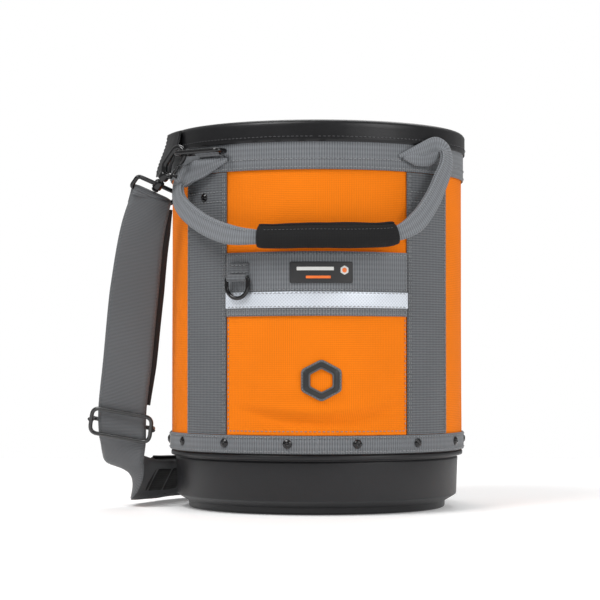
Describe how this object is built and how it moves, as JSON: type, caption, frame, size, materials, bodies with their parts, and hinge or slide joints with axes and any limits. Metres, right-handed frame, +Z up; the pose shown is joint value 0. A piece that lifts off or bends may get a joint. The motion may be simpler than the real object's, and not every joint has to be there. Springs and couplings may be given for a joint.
{
  "type": "tool bucket organizer",
  "caption": "Soft-sided round tool bucket with a moulded base, stiff bound rim, riveted webbing, front pocket, two webbing handles and a detachable shoulder strap.",
  "frame": {"origin": "centre of the base's underside, on the surface the bucket stands on", "axes": "+Z up, front pocket faces -Y, +X to the right seen from the front"},
  "size_m": [0.391, 0.3754, 0.387],
  "materials": {
    "moulded_base": "satin moulded",
    "foam_pad": "closed-cell foam",
    "wall_fabric": "coarse plain weave",
    "pocket_fabric": "coarse plain weave",
    "stiffener_sheet": "smooth sheet",
    "lining_fabric": "fine plain weave",
    "hoop_plastic": "extruded",
    "rim_vinyl": "grained coated vinyl, semi-gloss",
    "grey_webbing": "ribbed webbing",
    "rivet_metal": "gloss black",
    "reflective_tape": "silver reflective",
    "label_patch": "moulded patch",
    "badge_rubber": "moulded soft plastic",
    "handle_webbing": "folded ribbed webbing",
    "grip_fabric": "ballistic weave with hook-and-loop",
    "ring_metal": "gloss black",
    "hook_metal": "gloss black",
    "strap_webbing": "ribbed webbing",
    "pad_fabric": "coated pad",
    "slider_plastic": "polished"
  },
  "bodies": {
    "bucket": {"base_tub": "moulded_base", "base_pad": "foam_pad", "body_shell": "wall_fabric", "wall_stiffener": "stiffener_sheet", "inner_lining": "lining_fabric", "rim_hoop": "hoop_plastic", "rim_binding": "rim_vinyl", "top_band": "grey_webbing", "base_binding": "grey_webbing", "strip_front_left": "grey_webbing", "strip_front_right": "grey_webbing", "strip_rear_right": "grey_webbing", "strip_rear_left": "grey_webbing", "inner_pocket_panel": "lining_fabric", "tool_loop_band": "grey_webbing", "base_rivet_01": "rivet_metal", "base_rivet_02": "rivet_metal", "base_rivet_03": "rivet_metal", "base_rivet_04": "rivet_metal", "base_rivet_05": "rivet_metal", "base_rivet_06": "rivet_metal", "base_rivet_07": "rivet_metal", "base_rivet_08": "rivet_metal", "base_rivet_09": "rivet_metal", "base_rivet_10": "rivet_metal", "base_rivet_11": "rivet_metal", "base_rivet_12": "rivet_metal", "base_rivet_13": "rivet_metal", "base_rivet_14": "rivet_metal", "strip_rivet_front_left": "rivet_metal", "strip_rivet_front_right": "rivet_metal", "strip_rivet_rear_right": "rivet_metal", "strip_rivet_rear_left": "rivet_metal", "front_pocket": "pocket_fabric", "pocket_band": "grey_webbing", "reflective_tape": "reflective_tape", "label_patch": "label_patch", "badge": "badge_rubber", "d_ring_tab": "grey_webbing", "ring_loop_left": "grey_webbing", "ring_loop_right": "grey_webbing", "rim_guard_left": "rim_vinyl", "rim_guard_right": "rim_vinyl"},
    "front_handle": {"front_handle_strap": "handle_webbing", "grip_wrap": "grip_fabric"},
    "grip_flap": {"grip_flap": "grip_fabric"},
    "rear_handle": {"rear_handle_strap": "handle_webbing"},
    "pocket_d_ring": {"d_ring": "ring_metal"},
    "strap_ring_left": {"strap_ring_left": "ring_metal"},
    "strap_ring_right": {"strap_ring_right": "ring_metal"},
    "shoulder_strap": {"shoulder_strap": "strap_webbing", "shoulder_pad": "pad_fabric", "end_loop_left": "hook_metal", "end_loop_right": "hook_metal"},
    "snap_hook_left": {"snap_hook_left": "hook_metal"},
    "snap_hook_right": {"snap_hook_right": "hook_metal"},
    "hook_gate_left": {"hook_gate_left": "hook_metal"},
    "hook_gate_right": {"hook_gate_right": "hook_metal"},
    "strap_slider": {"strap_slider": "slider_plastic"}
  },
  "joints": [
    {"name": "front_handle_swing", "type": "hinge", "parent": "bucket", "child": "front_handle", "pos_m": [0, -0.1167, 0.3483], "axis": [-0.998, -0.0397, -0.0486], "range_deg": [0, 140]},
    {"name": "grip_flap_open", "type": "hinge", "parent": "front_handle", "child": "grip_flap", "pos_m": [0.01, -0.16175, 0.26135], "axis": [0.9986, 0.0466, 0.0259], "range_deg": [0, 60]},
    {"name": "rear_handle_swing", "type": "hinge", "parent": "bucket", "child": "rear_handle", "pos_m": [0, 0.138, 0.337], "axis": [1, 0, 0], "range_deg": [0, 140]},
    {"name": "d_ring_swing", "type": "hinge", "parent": "bucket", "child": "pocket_d_ring", "pos_m": [-0.07794, -0.14061, 0.232], "axis": [-0.8746, 0.4848, 0], "range_deg": [0, 110]},
    {"name": "strap_ring_left_tilt", "type": "hinge", "parent": "bucket", "child": "strap_ring_left", "pos_m": [-0.09492, -0.12656, 0.358], "axis": [-0.8, 0.6, 0], "range_deg": [-12, 0]},
    {"name": "strap_ring_right_tilt", "type": "hinge", "parent": "bucket", "child": "strap_ring_right", "pos_m": [0.09492, 0.12656, 0.358], "axis": [0.8, -0.6, 0], "range_deg": [-12, 0]},
    {"name": "shoulder_strap_swing", "type": "hinge", "parent": "bucket", "child": "shoulder_strap", "pos_m": [-0.13742, -0.10406, 0.358], "axis": [0.7972, 0.6037, 0], "range_deg": [0, 24]},
    {"name": "snap_hook_left_swivel", "type": "hinge", "parent": "shoulder_strap", "child": "snap_hook_left", "pos_m": [-0.15973, -0.08732, 0.3285], "axis": [0.5495, -0.4124, 0.7266], "range_deg": [-8, 8]},
    {"name": "snap_hook_right_swivel", "type": "hinge", "parent": "shoulder_strap", "child": "snap_hook_right", "pos_m": [0.13742, 0.10406, 0.3174], "axis": [0, 0, 1], "range_deg": [-8, 8]},
    {"name": "hook_gate_left_press", "type": "hinge", "parent": "snap_hook_left", "child": "hook_gate_left", "pos_m": [-0.14569, -0.09785, 0.33599], "axis": [-0.6, -0.8, 0], "range_deg": [0, 22], "stiffness_Nm_per_rad": 0.02, "springref_deg": -17.19},
    {"name": "hook_gate_right_press", "type": "hinge", "parent": "snap_hook_right", "child": "hook_gate_right", "pos_m": [0.13134, 0.10862, 0.3349], "axis": [0.6, 0.8, 0], "range_deg": [0, 22], "stiffness_Nm_per_rad": 0.02, "springref_deg": -17.19},
    {"name": "strap_slider_adjust", "type": "slide", "parent": "shoulder_strap", "child": "strap_slider", "axis": [0.0851, -0.1651, 0.9826], "range_m": [0, 0.014]}
  ]
}
